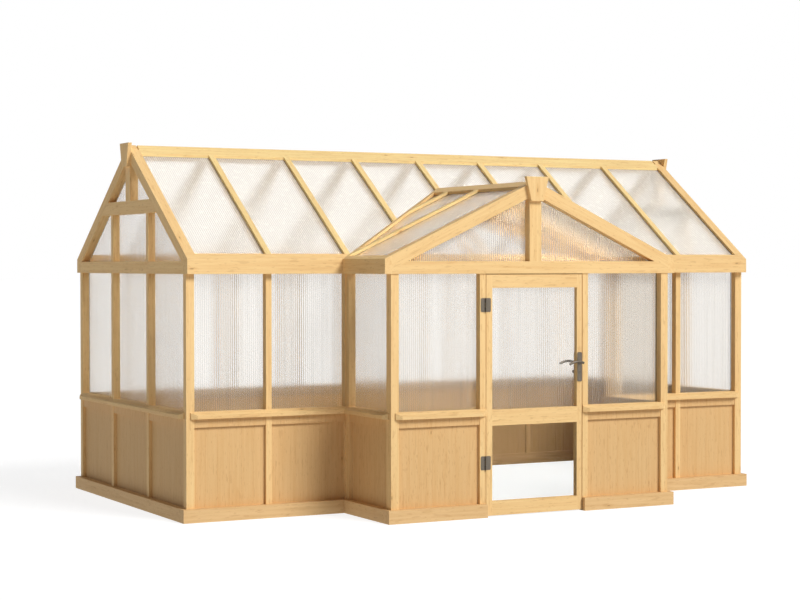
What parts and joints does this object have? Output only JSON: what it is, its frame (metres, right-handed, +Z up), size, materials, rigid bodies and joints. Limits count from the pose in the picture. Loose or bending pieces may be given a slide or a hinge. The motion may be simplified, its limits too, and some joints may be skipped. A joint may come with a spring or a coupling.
{
  "type": "wooden greenhouse",
  "caption": "Freestanding timber-framed greenhouse with a pitched roof, a cross-gabled entrance porch, fluted clear sheets over a boarded dado and a hinged door with a lever handle.",
  "frame": {"origin": "middle of the building's footprint on the ground", "axes": "+X along the main ridge, to the right when facing the door; +Y from the porch and door towards the back wall; +Z up"},
  "size_m": [4.958, 3.196, 2.7482],
  "materials": {
    "pine_frame": "smooth planed pale pine, clear finish",
    "pine_boards": "smooth vertical pine boarding",
    "fluted_sheet": "clear fluted multiwall sheet",
    "clear_pane": "clear polished pane",
    "steel": "grey metal"
  },
  "bodies": {
    "building": {"plinth_long_beams": "pine_frame", "plinth_cross_beams": "pine_frame", "main_posts": "pine_frame", "porch_posts": "pine_frame", "main_sills": "pine_frame", "porch_sills": "pine_frame", "main_eave_beams": "pine_frame", "porch_eave_beams": "pine_frame", "porch_opening_beam": "pine_frame", "gable_tie_beams": "pine_frame", "gable_collars": "pine_frame", "gable_studs": "pine_frame", "gable_rafters": "pine_frame", "porch_tie_beam": "pine_frame", "porch_king_post": "pine_frame", "porch_gable_rafters": "pine_frame", "keystones": "pine_frame", "ridge_beam": "pine_frame", "main_rafters": "pine_frame", "porch_ridge_beam": "pine_frame", "porch_rafters": "pine_frame", "valley_rafters": "pine_frame", "main_cover_strips": "pine_frame", "porch_cover_strips": "pine_frame", "valley_strips": "pine_frame", "ridge_cap": "pine_frame", "porch_ridge_cap": "pine_frame", "main_dado_panels": "pine_boards", "porch_dado_panels": "pine_boards", "front_wall_sheets": "fluted_sheet", "back_wall_sheet": "fluted_sheet", "end_wall_sheets": "fluted_sheet", "porch_wall_sheets": "fluted_sheet", "gable_sheets": "fluted_sheet", "porch_gable_sheets": "fluted_sheet", "main_roof_sheets": "fluted_sheet", "porch_roof_sheets": "fluted_sheet", "frame_hinge_leaves": "steel"},
    "door": {"door_stiles": "pine_frame", "door_rails": "pine_frame", "door_upper_sheet": "fluted_sheet", "door_lower_pane": "clear_pane", "door_hinge_leaves": "steel", "handle_plates": "steel"},
    "lever": {"lever_handle": "steel"}
  },
  "joints": [
    {"name": "door_hinge", "type": "hinge", "parent": "building", "child": "door", "pos_m": [-0.415, -1.5525, 0.392], "axis": [0, 0, -1], "range_deg": [0, 90]},
    {"name": "lever_turn", "type": "hinge", "parent": "door", "child": "lever", "pos_m": [0.388, -1.544, 1.101], "axis": [0, -1, 0], "range_deg": [0, 40], "stiffness_Nm_per_rad": 1.2, "springref_deg": -34.38}
  ]
}
